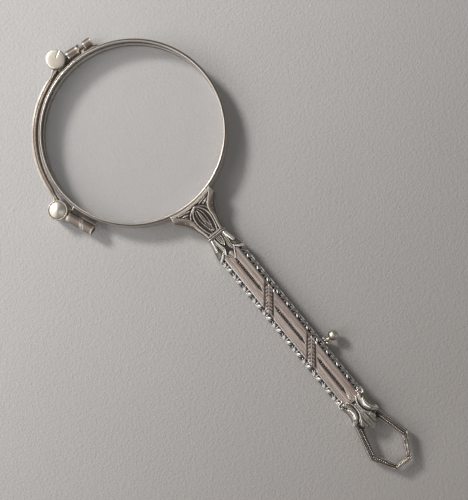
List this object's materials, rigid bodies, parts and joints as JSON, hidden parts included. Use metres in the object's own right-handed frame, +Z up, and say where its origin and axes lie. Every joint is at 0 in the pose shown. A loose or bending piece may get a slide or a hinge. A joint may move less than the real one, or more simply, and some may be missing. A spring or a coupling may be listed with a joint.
{
  "type": "folding lorgnette",
  "caption": "Folding spectacles on a slim ornamental handle, with round lenses hinged on a curved bridge, a sliding release knob and a loop for a ribbon.",
  "frame": {"origin": "centre of the whole outline, at the plane that the folded lorgnette lies on", "axes": "+Z up out of the front lens, +Y along the handle towards the lenses, +X towards the release knob"},
  "size_m": [0.0428, 0.1094, 0.0051],
  "materials": {
    "polished_silver": "polished silver with fine wear",
    "aged_silver": "cast silver, rubbed bright on the raised ornament and dark in the hollows",
    "brushed_silver": "silver brushed along its length, with a warm rosy tint",
    "dark_silver": "dull tarnished silver",
    "lens_glass": "clear polished glass",
    "spring_steel": "blued spring steel"
  },
  "bodies": {
    "root": {"front_rim": "polished_silver", "front_lens": "lens_glass", "front_hinge_leaf": "dark_silver", "front_hinge_spring": "spring_steel", "yoke_front": "aged_silver", "yoke_back": "aged_silver", "neck_band": "aged_silver", "upper_collar": "aged_silver", "handle_front": "brushed_silver", "handle_back": "brushed_silver", "lower_collar": "aged_silver", "ribbon_loop": "aged_silver", "upper_rod_guide": "dark_silver", "lower_rod_guide": "dark_silver", "spring_anchor": "dark_silver", "return_spring": "spring_steel"},
    "bridge": {"bridge_bar": "aged_silver", "front_boss": "aged_silver", "rear_boss": "aged_silver", "front_boss_cap": "polished_silver", "rear_boss_cap": "polished_silver", "front_boss_screw": "polished_silver", "rear_boss_screw": "polished_silver", "front_hinge_pin": "spring_steel", "rear_hinge_pin": "spring_steel", "front_end_knuckle": "aged_silver", "rear_end_knuckle": "aged_silver"},
    "rear_frame": {"rear_rim": "polished_silver", "rear_lens": "lens_glass", "rear_hinge_leaf": "dark_silver", "rear_hinge_spring": "spring_steel", "catch_lug": "dark_silver"},
    "release": {"release_rod": "spring_steel", "catch_hook": "spring_steel", "slider_block": "spring_steel", "knob_stem": "polished_silver", "knob_rosette": "polished_silver", "release_knob": "polished_silver"}
  },
  "joints": [
    {"name": "front_hinge", "type": "hinge", "parent": "root", "child": "bridge", "pos_m": [-0.01747, 0.02336, 0.00302], "axis": [-0.3584, 0.9336, 0], "range_deg": [0, 180], "deforming": ["front_hinge_spring"]},
    {"name": "rear_hinge", "type": "hinge", "parent": "bridge", "child": "rear_frame", "pos_m": [0.0049, 0.052, 0.00178], "axis": [0.9925, -0.1219, 0], "range_deg": [0, 180], "deforming": ["rear_hinge_spring"]},
    {"name": "release_slide", "type": "slide", "parent": "root", "child": "release", "axis": [0, -1, 0], "range_m": [0, 0.0025], "stiffness_N_per_m": 500, "springref_m": -0.002, "deforming": ["return_spring"]}
  ]
}
